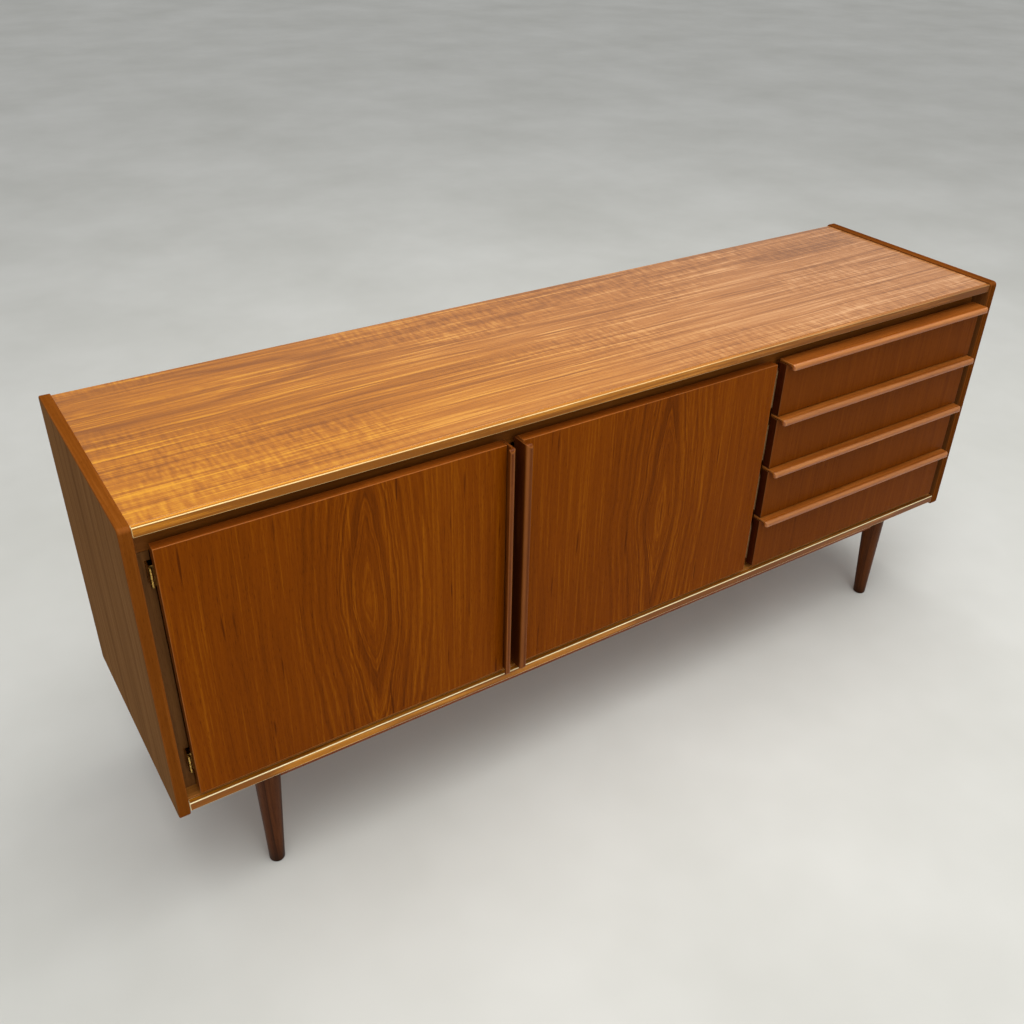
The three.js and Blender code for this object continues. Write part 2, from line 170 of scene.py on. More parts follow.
# A material being made: node() adds any node, the rest are short ways to the ones used most.
class Finish:
    def __init__(self, name):
        self.material = bpy.data.materials.new(name)
        self.material.use_nodes = True
        self.tree = self.material.node_tree
        self.tree.nodes.clear()

    # Settings come before inputs, since a setting can change which inputs a node has.
    def node(self, kind, settings=None, inputs=None, output=0):
        node = self.tree.nodes.new(kind)
        for key, value in (settings or {}).items():
            if key == "stops":
                setStops(node.color_ramp, value)
            else:
                setattr(node, key, value)
        for key, value in (inputs or {}).items():
            connect(self.tree, node.inputs[key], value)
        return None if output is None else Wire(self.tree, node.outputs[output])

    def vector(self, operation, first, second=(0, 0, 0), third=(0, 0, 0)):
        inputs = {0: first, 1: second}
        if operation == "MULTIPLY_ADD":
            inputs[2] = third
        return self.node("ShaderNodeVectorMath", {"operation": operation}, inputs)

    def attribute(self, name, output):
        return self.node("ShaderNodeAttribute", {"attribute_name": name}, output=output)

    def split(self, vector):
        return [self.node("ShaderNodeSeparateXYZ", inputs={0: vector}, output=n) for n in range(3)]

    def join(self, x, y, z):
        return self.node("ShaderNodeCombineXYZ", inputs={0: x, 1: y, 2: z})

    # Noise from 0 to 1 at a point stretched by a rate for each axis, in waves per metre.
    def noise(self, place, rate, detail=2.0, rough=0.5, shift=(0, 0, 0)):
        stretched = self.vector("MULTIPLY_ADD", place, rate, shift)
        inputs = {"Vector": stretched, "Scale": 1.0, "Detail": detail, "Roughness": rough}
        return self.node("ShaderNodeTexNoise", inputs=inputs)

    # Noise along one number, for growth rings of uneven width.
    def bands(self, value, detail=2.0, rough=0.5):
        inputs = {"W": value, "Scale": 1.0, "Detail": detail, "Roughness": rough}
        return self.node("ShaderNodeTexNoise", {"noise_dimensions": "1D"}, inputs)

    def smooth(self, value, low, high, first=0.0, last=1.0):
        inputs = {"Value": value, "From Min": low, "From Max": high,
                  "To Min": first, "To Max": last}
        return self.node("ShaderNodeMapRange", {"interpolation_type": "SMOOTHSTEP"}, inputs)

    def blend(self, factor, first, second, way="MIX"):
        settings = {"data_type": "RGBA", "blend_type": way}
        return self.node("ShaderNodeMix", settings, {0: factor, 6: first, 7: second}, output=2)

    def ramp(self, value, stops):
        return self.node("ShaderNodeValToRGB", {"stops": stops}, {0: value})

    def bump(self, height, strength, distance):
        inputs = {"Height": height, "Strength": strength, "Distance": distance}
        return self.node("ShaderNodeBump", inputs=inputs)

    def surface(self, **sockets):
        inputs = {key.replace("_", " "): value for key, value in sockets.items()}
        shader = self.node("ShaderNodeBsdfPrincipled", inputs=inputs)
        self.node("ShaderNodeOutputMaterial", inputs={"Surface": shader}, output=None)
        return self.material


def setStops(ramp, stops):
    while len(ramp.elements) > 1:
        ramp.elements.remove(ramp.elements[-1])
    for number, (place, colour) in enumerate(stops):
        element = ramp.elements[0] if number == 0 else ramp.elements.new(place)
        element.position = place
        element.color = (*colour, 1)


# A display colour from 0 to 255 as the linear colour that a shader takes.
def tone(red, green, blue):
    part = np.array([red, green, blue]) / 255
    linear = np.where(part <= 0.04045, part / 12.92, ((part + 0.055) / 1.055) ** 2.4)
    return tuple(float(value) for value in linear)


# Every look of sawn wood says its three tones, how wide its growth rings are and how they wander,
# how strong each layer of figure is, and its edge tone: rubbed wear, and where it is pale also a
# painted highlight along the rounded arrises. fade darkens it across the grain, a painted shade
# that makes the back of the top darker. The two drift colours tint it from one end to the other,
# partly real tone and partly painted reflection and highlight. Lengths are metres, rates are waves
# per metre.
plainLook = {
    "dark": tone(120, 62, 20), "middle": tone(160, 88, 32), "light": tone(190, 112, 50),
    "ring": 0.009, "line": 0.014, "bend": 0.03, "bendRate": 1.2, "wobble": 0.004, "centre": 0.0,
    "depth": 0.06, "slope": 0.0, "depthWander": 0.05, "depthRate": 1.6,
    "ringAmount": 0.5, "lineAmount": 0.3, "fibreAmount": 0.4, "poreAmount": 0.25,
    "patchAmount": 0.3,
    "rippleAmount": 0.0, "rippleRate": 110.0, "fleckAmount": 0.0, "point": 2.0, "ragged": 0.0,
    "streakAmount": 0.1, "streakRate": 160.0, "figureWidth": 0.5, "figureRest": 1.0, "fade": 0.0,
    "edgeTone": tone(205, 140, 80), "edgeAmount": 0.25, "edgeFade": 0.0,
    "shine": 0.3, "roughness": 0.38, "coat": 0.1, "coatRoughness": 0.2, "bump": 0.12,
    "driftStart": (1.0, 1.0, 1.0), "driftEnd": (1.0, 1.0, 1.0), "driftReach": 0.9,
}

topLook = plainLook | {
    "dark": tone(144, 86, 24), "middle": tone(187, 119, 41), "light": tone(224, 162, 74),
    "ring": 0.006, "line": 0.011, "bend": 0.02, "bendRate": 0.8, "centre": -0.13,
    "depth": 0.10, "depthWander": 0.10, "depthRate": 1.7, "lineAmount": 0.2, "fibreAmount": 0.7,
    "rippleAmount": 0.8, "rippleRate": 150.0, "ragged": 0.003, "streakAmount": 0.36,
    # fade darkens the back of the top: painted shade.
    "streakRate": 170.0, "fleckAmount": 0.25, "fade": 0.4,
    "shine": 0.45, "roughness": 0.3, "coat": 0.22,
    # The drift tints the top yellower at the left and pinker with more blue at the right: partly
    # real tone, partly a painted reflection of the pale room on the right.
    "driftStart": (0.9, 0.79, 0.12), "driftEnd": (0.85, 0.93, 2.3),
}
# The two side looks are one teak tinted apart by painted light: sideLook is greyer and olive for
# the shade and bluish reflection on the left side, and warmSideLook is darker and redder, a painted
# shade for the right side seen in its shaded gap.
sideLook = plainLook | {
    "dark": tone(100, 66, 35), "middle": tone(126, 87, 50), "light": tone(147, 106, 66),
    "ring": 0.012, "line": 0.02, "ringAmount": 0.3, "lineAmount": 0.12, "fibreAmount": 0.5,
    "depthWander": 0.03, "edgeAmount": 0.15, "shine": 0.0, "roughness": 0.6, "coat": 0.04,
    "coatRoughness": 0.4,
}
warmSideLook = sideLook | {
    "dark": tone(88, 50, 20), "middle": tone(116, 70, 32), "light": tone(139, 90, 46),
}
frontLook = plainLook | {
    "dark": tone(86, 37, 1), "middle": tone(121, 57, 1), "light": tone(158, 88, 6),
    "ring": 0.007, "line": 0.01, "bendRate": 2.2, "wobble": 0.008,
    "depth": 0.0, "slope": 0.17, "depthRate": 3.0, "centre": -0.03,
    "ringAmount": 1.0, "fibreAmount": 0.26, "fleckAmount": 0.4,
    "point": 1.3, "ragged": 0.007, "streakAmount": 0.16, "streakRate": 230.0,
    "figureWidth": 0.13, "figureRest": 0.2,
    "shine": 0.02, "roughness": 0.42, "coat": 0.02, "coatRoughness": 0.3, "edgeAmount": 0.15,
}
drawerLook = frontLook | {
    "dark": tone(86, 38, 1), "middle": tone(112, 54, 5), "light": tone(134, 68, 12),
    "depth": 0.25, "slope": 0.0, "depthWander": 0.04, "ringAmount": 0.22, "fleckAmount": 0.1,
    "lineAmount": 0.05, "figureRest": 1.0,
}
solidLook = plainLook | {
    "dark": tone(112, 56, 12), "middle": tone(152, 82, 24), "light": tone(194, 120, 52),
    "ring": 0.005, "line": 0.008, "bend": 0.012, "depth": 0.03, "depthWander": 0.02,
    "ringAmount": 0.6, "lineAmount": 0.35, "rippleAmount": 0.15, "edgeAmount": 0.4,
    "shine": 0.45, "roughness": 0.3, "coat": 0.25,
}
lippingLook = solidLook | {
    "dark": tone(134, 76, 14), "middle": tone(184, 116, 32), "light": tone(220, 154, 62),
    # edgeTone here is mostly a painted highlight, the cream line on the upper arris. The drift
    # darkens the right end, partly real tone and partly painted light.
    "edgeTone": tone(255, 240, 190), "edgeAmount": 1.0, "shine": 0.15, "coat": 0.1,
    "streakAmount": 0.4,
    "driftStart": (1.0, 1.0, 0.8), "driftEnd": (0.7, 0.62, 0.8),
}
topLippingLook = lippingLook | {
    "dark": tone(142, 84, 14), "middle": tone(196, 126, 36), "light": tone(232, 166, 74),
    # edgeFade lets the painted highlight on the arris fade out towards the right end.
    "edgeTone": tone(255, 226, 160), "edgeAmount": 0.9, "edgeFade": 0.85,
    "driftStart": (1.0, 0.95, 0.6), "driftEnd": (0.66, 0.6, 1.1),
}
# The door strips are a darker copy of the solid teak of the drawer strips: painted shade for their
# shaded scoops. Their edge tone is partly a painted highlight.
doorStripLook = solidLook | {
    "dark": tone(72, 30, 5), "middle": tone(100, 48, 10), "light": tone(132, 72, 24),
    "edgeTone": tone(190, 118, 58), "edgeAmount": 0.3, "shine": 0.08, "coat": 0.03,
}
frontEdgeLook = solidLook | {
    "dark": tone(104, 48, 8), "middle": tone(140, 72, 18), "light": tone(176, 100, 36),
    "shine": 0.1, "coat": 0.04, "edgeTone": tone(206, 138, 74), "edgeAmount": 0.3,
}
sideEdgeLook = frontEdgeLook | {
    "dark": tone(84, 40, 6), "middle": tone(116, 61, 14), "light": tone(146, 84, 30),
    "ringAmount": 0.4, "lineAmount": 0.3, "edgeTone": tone(170, 100, 52), "edgeAmount": 0.15,
    "shine": 0.0, "coat": 0.02,
}
# The edges of the drawer fronts are a much darker copy: painted shade, as they show only in the
# shaded gaps beside the fronts.
drawerEdgeLook = frontEdgeLook | {
    "dark": tone(50, 17, 4), "middle": tone(82, 33, 8), "light": tone(112, 54, 18),
    "shine": 0.05, "coat": 0.0, "edgeAmount": 0.2,
}
innerLook = plainLook | {
    "dark": tone(92, 56, 24), "middle": tone(124, 80, 38), "light": tone(150, 102, 54),
    "ringAmount": 0.4, "lineAmount": 0.2, "edgeAmount": 0.1, "shine": 0.1, "roughness": 0.5,
    "coat": 0.0,
}
headRailLook = innerLook | {
    "dark": tone(98, 52, 12), "middle": tone(130, 74, 22), "light": tone(158, 96, 38),
}
shadedLook = innerLook | {
    "dark": tone(50, 22, 8), "middle": tone(72, 35, 14), "light": tone(94, 50, 22),
}
innerFloorLook = innerLook | {
    "dark": tone(130, 76, 24), "middle": tone(168, 106, 42), "light": tone(196, 134, 66),
}
backLook = plainLook | {
    "dark": tone(126, 84, 48), "middle": tone(152, 106, 64), "light": tone(176, 130, 84),
    "ring": 0.012, "line": 0.02, "depthWander": 0.08, "lineAmount": 0.2, "edgeAmount": 0.1,
    "roughness": 0.62, "coat": 0.0, "bump": 0.2,
}
drawerBoxLook = plainLook | {
    "dark": tone(176, 132, 84), "middle": tone(206, 166, 116), "light": tone(226, 192, 146),
    "ring": 0.006, "line": 0.01, "ringAmount": 0.4, "lineAmount": 0.15, "edgeAmount": 0.15,
    "edgeTone": tone(226, 192, 146), "roughness": 0.58, "coat": 0.0, "bump": 0.2,
}
runnerLook = drawerBoxLook | {
    "dark": tone(120, 78, 42), "middle": tone(150, 102, 60), "light": tone(176, 126, 80),
}
legLook = plainLook | {
    "dark": tone(50, 24, 8), "middle": tone(84, 44, 18), "light": tone(116, 68, 34),
    "ring": 0.005, "line": 0.007, "bend": 0.008, "depth": 0.03, "depthWander": 0.02,
    "edgeTone": tone(26, 13, 6), "edgeAmount": 0.7, "shine": 0.05, "roughness": 0.36, "coat": 0.04,
}
railLook = plainLook | {
    "dark": tone(96, 42, 10), "middle": tone(126, 60, 18), "light": tone(150, 78, 30),
    "edgeAmount": 0.1, "shine": 0.15, "roughness": 0.42, "coat": 0.05,
}


# Layers of noise that every look shares: rates along, across and through the grain, and a shift
# that keeps each layer apart from the others.
layers = {
    "wobble": {"rate": (9.0, 24.0, 24.0), "shift": (4, 1, 2)},
    "ragged": {"rate": (16.0, 90.0, 90.0), "rough": 0.6, "shift": (7, 3, 6)},
    "fibre": {"rate": (5.0, 300.0, 300.0), "detail": 3.0, "rough": 0.6},
    "strand": {"rate": (2.2, 70.0, 70.0), "rough": 0.6, "shift": (2, 7, 5)},
    "pore": {"rate": (70.0, 1500.0, 1500.0), "detail": 1.0},
    "patch": {"rate": (1.6, 5.0, 5.0), "shift": (6, 2, 8)},
    "rippled": {"rate": (2.4, 6.0, 6.0), "shift": (1, 8, 4)},
    "fleck": {"rate": (7.0, 110.0, 110.0), "detail": 1.0, "shift": (5, 6, 9)},
    "rub": {"rate": (14.0, 60.0, 60.0)},
}
grainDepth = 0.0004


# Wood whose growth rings lie round a line beside the board. The distance from that line is
# radius = (|across|^point + |depth|^point)^(1/point), round where point is 2 and sharp where it is
# nearer 1. The distance across bends a little, and depth changes along the board, so the rings
# show as straight stripes where depth is steady and as nested arches where it changes.
# axes gives the object axis that runs along, across and through a piece with no grain of its own.
# Beyond the distance turnBeyond along it, a piece is a board that lies across its end.
# The solid edge of a board is a strip that follows its outline, so it adds the two long axes.
def woodFinish(name, look, axes=None, turnBeyond=None, isEdge=False):
    finish = Finish(name)
    if axes is None:
        grain = finish.attribute("grain", "Vector")
        place = finish.attribute("place", "Vector")
        edge = finish.attribute("edge", "Fac")
        along, across, through = finish.split(grain)
    else:
        where = finish.node("ShaderNodeTexCoord", output="Object")
        parts = finish.split(where)
        along, across, through = (parts["xyz".index(axis)] for axis in axes)
        if turnBeyond is not None:
            turned = along.math("GREATER_THAN", along, turnBeyond) * (through - along)
            along, through = along + turned, through - turned
        place = finish.join(along, across, through)
    if isEdge:
        first, second, third = finish.split(place)
        place = finish.join(first + second, third, 0.0)
        along, across, through = along + across, through, 0.0

    sway = finish.noise(place, (look["bendRate"], 3.0, 3.0)) - 0.5
    wobble = finish.noise(place, **layers["wobble"]) - 0.5
    bent = across + look["centre"] + sway * look["bend"] + wobble * look["wobble"]
    if look["ragged"]:
        ragged = finish.noise(place, **layers["ragged"]) - 0.5
        bent = bent + ragged * look["ragged"]
    wander = finish.noise(place, (look["depthRate"], 0.6, 0.6), shift=(9, 5, 3)) - 0.5
    depth = along * look["slope"] + look["depth"] + through * 0.6 + wander * look["depthWander"]
    point = look["point"]
    radius = (abs(bent) ** point + abs(depth) ** point) ** (1 / point)

    ring = finish.bands(radius / look["ring"], 3.0, 0.6)
    line = finish.smooth(finish.bands(radius / look["line"] + 31.0, 1.0), 0.56, 0.72)
    fibre = finish.noise(place, **layers["fibre"])
    strand = finish.noise(place, **layers["strand"])
    pore = finish.smooth(finish.noise(place, **layers["pore"]), 0.6, 0.7)
    patch = finish.noise(place, **layers["patch"])

    figure = 1.0
    if look["figureRest"] < 1:
        figure = finish.smooth(abs(bent), 0.0, look["figureWidth"], 1.0, look["figureRest"])
    value = (ring - 0.5) * (figure * look["ringAmount"])
    value = value + (fibre - 0.5) * look["fibreAmount"] + 0.5
    value = value + (strand - 0.5) * look["fibreAmount"] + (patch - 0.5) * look["patchAmount"]
    value = value - line * (figure * look["lineAmount"]) - pore * look["poreAmount"]
    rate = look["streakRate"]
    streak = finish.noise(place, (3.5, rate, rate), rough=0.55, shift=(8, 2, 4))
    value = value + (finish.smooth(streak, 0.5, 0.72) - 0.2) * look["streakAmount"]
    if look["rippleAmount"]:
        rate = look["rippleRate"]
        ripple = finish.noise(place, (rate, rate * 0.22, 12.0), 1.5, shift=(3, 3, 1)) - 0.5
        rippled = finish.smooth(finish.noise(place, **layers["rippled"]), 0.4, 0.62)
        value = value + ripple * rippled * look["rippleAmount"]
    # Painted shade: fade darkens the wood across the grain, which on the top makes the back darker.
    if look["fade"]:
        value = value - across * look["fade"]
    if look["fleckAmount"]:
        fleck = finish.noise(place, **layers["fleck"])
        value = value - finish.smooth(fleck, 0.68, 0.78) * look["fleckAmount"]

    stops = [(0.1, look["dark"]), (0.5, look["middle"]), (0.9, look["light"])]
    colour = finish.ramp(value, stops)
    # The edge tone is rubbed wear, and where it is pale it is also a painted highlight on the
    # rounded arrises.
    wearAndHighlight = look["edgeAmount"]
    # Drift is partly real tone and partly painted light: painted reflection on the top, and painted
    # highlight fading along the lippings.
    if look["driftStart"] != look["driftEnd"]:
        reach = look["driftReach"]
        share = finish.smooth(along + (patch - 0.5) * 0.5, -reach, reach)
        drift = finish.blend(share, look["driftStart"], look["driftEnd"])
        colour = finish.vector("MULTIPLY", colour, drift)
        wearAndHighlight = (1.0 - share * look["edgeFade"]) * wearAndHighlight
    if axes is None:
        rub = edge * (finish.noise(place, **layers["rub"]) * 0.8 + 0.6)
        colour = finish.blend(rub * wearAndHighlight, colour, look["edgeTone"])

    rough = (fibre - 0.5) * 0.12 + pore * 0.15 + (patch - 0.5) * 0.1 + look["roughness"]
    height = (fibre - 0.5) * 0.4 + (ring - 0.5) * 0.25 - pore
    return finish.surface(
        Base_Color=colour, Roughness=rough, Specular_IOR_Level=look["shine"],
        Coat_Weight=look["coat"], Coat_Roughness=look["coatRoughness"],
        Normal=finish.bump(height, look["bump"], grainDepth))


brassLook = {
    "bright": tone(214, 176, 96), "dull": tone(120, 88, 40), "roughness": 0.28,
    "tarnishRate": (160.0, 160.0, 160.0), "scratchRate": (900.0, 900.0, 90.0),
    "scratchDepth": 0.0002,
}


# Brass that has dulled in patches, with fine scratches along one way.
def brassFinish():
    finish = Finish("hingeBrass")
    where = finish.node("ShaderNodeTexCoord", output="Object")
    tarnish = finish.noise(where, brassLook["tarnishRate"], 3.0, 0.6)
    scratch = finish.noise(where, brassLook["scratchRate"], 2.0, 0.6)
    colour = finish.ramp(tarnish, [(0.35, brassLook["bright"]), (0.72, brassLook["dull"])])
    rough = (tarnish - 0.5) * 0.35 + (scratch - 0.5) * 0.15 + brassLook["roughness"]
    return finish.surface(
        Base_Color=colour, Metallic=1.0, Roughness=rough,
        Normal=finish.bump(scratch, 0.15, brassLook["scratchDepth"]))


floorLook = {
    "pale": tone(210, 210, 205), "deep": tone(196, 196, 190), "roughness": 0.75,
    "cloudRate": (1.3, 1.3, 1.3), "half": 30.0,
}


def addFloor():
    half = floorLook["half"]
    mesh = bpy.data.meshes.new("studioFloor")
    corners = [(-half, -half, 0), (half, -half, 0), (half, half, 0), (-half, half, 0)]
    mesh.from_pydata(corners, [], [(0, 1, 2, 3)])
    finish = Finish("paleFloor")
    where = finish.node("ShaderNodeTexCoord", output="Object")
    cloud = finish.noise(where, floorLook["cloudRate"], 4.0, 0.6)
    colour = finish.ramp(cloud, [(0.3, floorLook["deep"]), (0.7, floorLook["pale"])])
    mesh.materials.append(finish.surface(Base_Color=colour, Roughness=floorLook["roughness"]))
    floor = bpy.data.objects.new("studioFloor", mesh)
    bpy.context.scene.collection.objects.link(floor)


addCamera()
addLight()
addFloor()
print("camera, lamps and floor in place")

drawerWall = 0.012
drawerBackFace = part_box("drawer_1_box")[1][1] - drawerWall

finishes = {
    "topTeak": woodFinish("topTeak", topLook),
    "sideTeak": woodFinish("sideTeak", sideLook),
    "warmSideTeak": woodFinish("warmSideTeak", warmSideLook),
    "frontTeak": woodFinish("frontTeak", frontLook),
    "drawerTeak": woodFinish("drawerTeak", drawerLook),
    "solidTeak": woodFinish("solidTeak", solidLook),
    "lippingTeak": woodFinish("lippingTeak", lippingLook),
    "topLippingTeak": woodFinish("topLippingTeak", topLippingLook),
    "doorStripTeak": woodFinish("doorStripTeak", doorStripLook),
    "frontEdge": woodFinish("frontEdge", frontEdgeLook, isEdge=True),
    "sideEdge": woodFinish("sideEdge", sideEdgeLook, isEdge=True),
    "drawerEdge": woodFinish("drawerEdge", drawerEdgeLook, isEdge=True),
    "innerTeak": woodFinish("innerTeak", innerLook),
    "innerFloor": woodFinish("innerFloor", innerFloorLook),
    "headRailTeak": woodFinish("headRailTeak", headRailLook),
    "backVeneer": woodFinish("backVeneer", backLook),
    "drawerWood": woodFinish("drawerWood", drawerBoxLook),
    "runnerWood": woodFinish("runnerWood", runnerLook),
    "legWood": woodFinish("legWood", legLook),
    "uprightTeak": woodFinish("uprightTeak", innerLook, "zyx"),
    "shadedTeak": woodFinish("shadedTeak", shadedLook, "zyx"),
    "drawerBoxWood": woodFinish("drawerBoxWood", drawerBoxLook, "yzx", turnBeyond=drawerBackFace),
    "longRailWood": woodFinish("longRailWood", railLook, "xzy"),
    "shortRailWood": woodFinish("shortRailWood", railLook, "yzx"),
    "hingeBrass": brassFinish(),
}
print("finishes made:", len(finishes))


cornerSteps = 4


# A closed outline of arcs joined by straight lines. Each arc is its centre (a, b), its radius, its
# first and last angle, and 1 where it bulges out or -1 where it hollows in. Each point is
# centre + radius * (cos angle, sin angle), and the surface faces the same way, or the other where
# it is hollow.
def outlineOf(arcs):
    table = np.array(arcs, float)[:, None, :]
    share = np.linspace(0, 1, cornerSteps + 1)[None, :]
    angle = np.radians(table[..., 3] + (table[..., 4] - table[..., 3]) * share)
    way = np.stack([np.cos(angle), np.sin(angle)], axis=-1)
    points = table[..., 0:2] + table[..., 2:3] * way
    return points.reshape(-1, 2), (way * table[..., 5:6]).reshape(-1, 2)


def rectangleArcs(a, b, radius):
    return [
        (a - radius, b - radius, radius, 0, 90, 1),
        (radius - a, b - radius, radius, 90, 180, 1),
        (radius - a, radius - b, radius, 180, 270, 1),
        (a - radius, radius - b, radius, 270, 360, 1),
    ]


# A shell is a closed tube of rings: quads between rings, and a strip of quads across each end
# that joins the outline's point i to the point i from its other end.
def shellOf(points, normals, edge):
    rings, around = points.shape[:2]
    index = np.arange(rings * around).reshape(rings, around)
    after = np.roll(index, -1, axis=1)
    wall = np.stack([index[:-1], after[:-1], after[1:], index[1:]], axis=-1).reshape(-1, 4)
    half = around // 2
    near, far = np.arange(half - 1), around - 1 - np.arange(half - 1)
    cap = np.stack([near, near + 1, far - 1, far], axis=-1)
    ends = np.concatenate([index[-1][cap], index[0][cap][:, ::-1]])
    return {
        "points": points.reshape(-1, 3),
        "normals": normals.reshape(-1, 3),
        "edge": edge.reshape(-1),
        "faces": np.concatenate([wall, ends]),
        "isEnd": np.concatenate([np.zeros(len(wall), bool), np.ones(len(ends), bool)]),
    }


# An outline carried along a third axis from -half to half. At each end it turns in on a quarter
# circle: it draws in by rounding * (1 - cos t) while it moves on by rounding * sin t.
# trim(a) shortens both ends by a length that depends on a.
def carriedOutline(arcs, half, rounding, trim=None):
    outline, outward = outlineOf(arcs)
    quarter = np.linspace(0, 90, cornerSteps + 1)
    turn = np.radians(np.concatenate([quarter - 90, quarter]))
    side = np.repeat([-1.0, 1.0], cornerSteps + 1)
    drawIn = rounding * (1 - np.cos(turn))
    section = outline[None] - outward[None] * drawIn[:, None, None]
    reach = side * (half - rounding) + rounding * np.sin(turn)
    reach = np.repeat(reach[:, None], len(outline), axis=1)
    facing = outward[None] * np.cos(turn)[:, None, None]
    lift = np.repeat(np.sin(turn)[:, None], len(outline), axis=1)
    edge = np.abs(np.sin(2 * turn))[:, None] * np.ones(len(outline))
    corner = np.abs(2 * outward[:, 0] * outward[:, 1])
    edge = np.maximum(edge, corner[None] * np.cos(turn)[:, None] ** 2)
    if trim is not None:
        short, slope = trim(section[..., 0])
        reach = reach - side[:, None] * short
        facing[..., 0] += side[:, None] * slope * lift
    points = np.concatenate([section, reach[..., None]], axis=-1)
    normals = np.concatenate([facing, lift[..., None]], axis=-1)
    normals /= np.linalg.norm(normals, axis=-1, keepdims=True)
    return points, normals, edge


# Moves points from an outline's own axes to the object's: order names the object axis of each.
def laidOut(local, order, signs=(1, 1, 1)):
    placed = np.empty_like(local)
    for number, axis in enumerate(order):
        placed[..., axis] = local[..., number] * signs[number]
    return placed


# A board between two corners. Its outline is a rectangle with rounded corners across its
# thickness, and its edges are rounded all round.
def boardShell(low, high, thin, rounding, corner):
    middle, half = (low + high) / 2, (high - low) / 2
    order = [(thin + 1) % 3, (thin + 2) % 3, thin]
    corner = max(corner, rounding * 1.02)
    arcs = rectangleArcs(half[order[0]], half[order[1]], corner)
    points, normals, edge = carriedOutline(arcs, half[thin], rounding)
    return shellOf(laidOut(points, order) + middle, laidOut(normals, order), edge)


# A turned shape: a radius for each distance along its axis, taken round a full circle, with the
# centre line moved sideways by lean at each distance.
def turnedShell(radius, distance, sides, axis=2, centre=(0, 0, 0), lean=None):
    angle = np.linspace(0, 2 * np.pi, sides, endpoint=False)
    circle = np.stack([np.cos(angle), np.sin(angle)], axis=-1)
    local = np.zeros((len(radius), sides, 3))
    local[..., :2] = radius[:, None, None] * circle[None]
    local[..., 2] = distance[:, None]
    rise, spread = np.gradient(distance), np.gradient(radius)
    facing = np.zeros_like(local)
    facing[..., :2] = rise[:, None, None] * circle[None]
    facing[..., 2] = -spread[:, None]
    facing[0], facing[-1] = (0, 0, -1), (0, 0, 1)
    facing /= np.linalg.norm(facing, axis=-1, keepdims=True)
    if lean is not None:
        local[..., :2] += lean[:, None, :]
    order = [(axis + 1) % 3, (axis + 2) % 3, axis]
    edge = np.zeros(local.shape[:2])
    return shellOf(laidOut(local, order) + np.array(centre), laidOut(facing, order), edge)


axisOf = {"x": 0, "y": 1, "z": 2}
treeStep = np.array([3.7, 1.3, 0.7])  # from one piece's spot in the tree to the next
madePieces = []


def cornersOf(node):
    low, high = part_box(node)
    return np.array(low), np.array(high)


def pieceName(node):
    first, *rest = node.split("_")
    return first + "".join(word.capitalize() for word in rest)


def bodyOf(node):
    return frame["nodes"][node]["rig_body"]


# Puts shells into one mesh with its place in its vertices. grain runs along, across and through
# the wood from a middle point, and place is the same moved to a spot of the tree of its own.
def addPiece(node, shells, finish, rimFinish=None, along="x", through="y", middle=None,
             seed=None):
    counts = np.cumsum([0] + [len(shell["points"]) for shell in shells])
    points = np.concatenate([shell["points"] for shell in shells])
    normals = np.concatenate([shell["normals"] for shell in shells])
    edge = np.concatenate([shell["edge"] for shell in shells])
    faces = np.concatenate([shell["faces"] + start for shell, start in zip(shells, counts)])
    isEnd = np.concatenate([shell["isEnd"] for shell in shells])
    name = pieceName(node)
    mesh = bpy.data.meshes.new(name)
    mesh.from_pydata(points.tolist(), [], faces.tolist())
    mesh.materials.append(finishes[finish])
    if rimFinish:
        mesh.materials.append(finishes[rimFinish])
        mesh.polygons.foreach_set("material_index", np.where(isEnd, 0, 1).astype(np.int32))
    mesh.polygons.foreach_set("use_smooth", np.ones(len(faces), bool))
    order = [axisOf[along], 3 - axisOf[along] - axisOf[through], axisOf[through]]
    low, high = points.min(axis=0), points.max(axis=0)
    middle = (low + high) / 2 if middle is None else middle
    grain = (points - middle)[:, order]
    seed = len(madePieces) if seed is None else seed
    place = grain + treeStep * (seed + 1)
    for label, kind, values in (("grain", "FLOAT_VECTOR", grain), ("place", "FLOAT_VECTOR", place),
                                ("edge", "FLOAT", edge)):
        layer = mesh.attributes.new(label, kind, "POINT")
        layer.data.foreach_set("value" if kind == "FLOAT" else "vector",
                               values.astype(np.float32).ravel())
    mesh.update()
    mesh.normals_split_custom_set_from_vertices(normals.tolist())
    piece = bpy.data.objects.new(name, mesh)
    bpy.context.scene.collection.objects.link(piece)
    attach(piece, bodyOf(node))
    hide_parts(node)
    madePieces.append(piece)
    return piece


